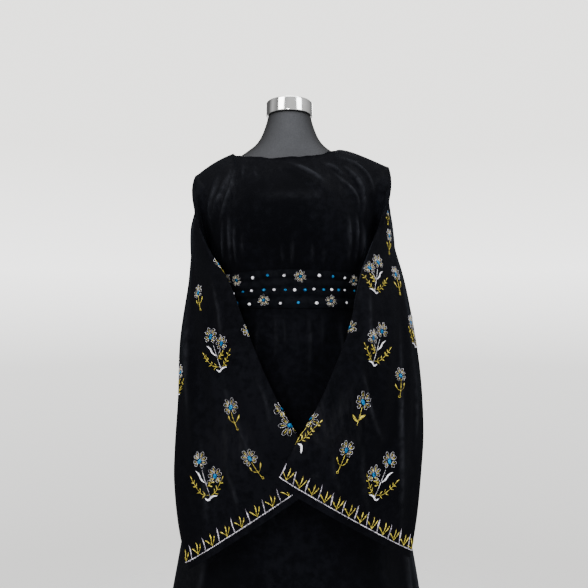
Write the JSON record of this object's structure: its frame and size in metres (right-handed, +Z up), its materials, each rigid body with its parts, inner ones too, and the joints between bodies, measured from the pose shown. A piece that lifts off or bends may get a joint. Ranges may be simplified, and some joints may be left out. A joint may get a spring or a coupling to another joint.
{
  "type": "abaya on dress form",
  "caption": "Full-length velvet abaya with wide bell sleeves crossed in front and a pleated belt under the bust, on a limbless dress form with a round stand.",
  "frame": {"origin": "on the floor, under the middle of the whole object's box, within a millimetre of the stand's axis", "axes": "+Z up along the stand, -Y the garment's front, +X the viewer's right seen from the front"},
  "size_m": [0.6724, 0.5582, 1.5523],
  "materials": {
    "black_velvet": "black velvet with a soft nap",
    "belt_velvet": "black velvet, pleated",
    "charcoal_form_cloth": "charcoal jersey, matt",
    "polished_metal": "polished",
    "stand_metal": "satin black"
  },
  "bodies": {
    "root": {"front_panel": "black_velvet", "back_panel": "black_velvet", "sleeve_left": "black_velvet", "sleeve_right": "black_velvet", "belt": "belt_velvet", "form_torso": "charcoal_form_cloth", "form_neck_cap": "polished_metal", "stand_pole": "stand_metal", "stand_base": "stand_metal"}
  },
  "joints": []
}
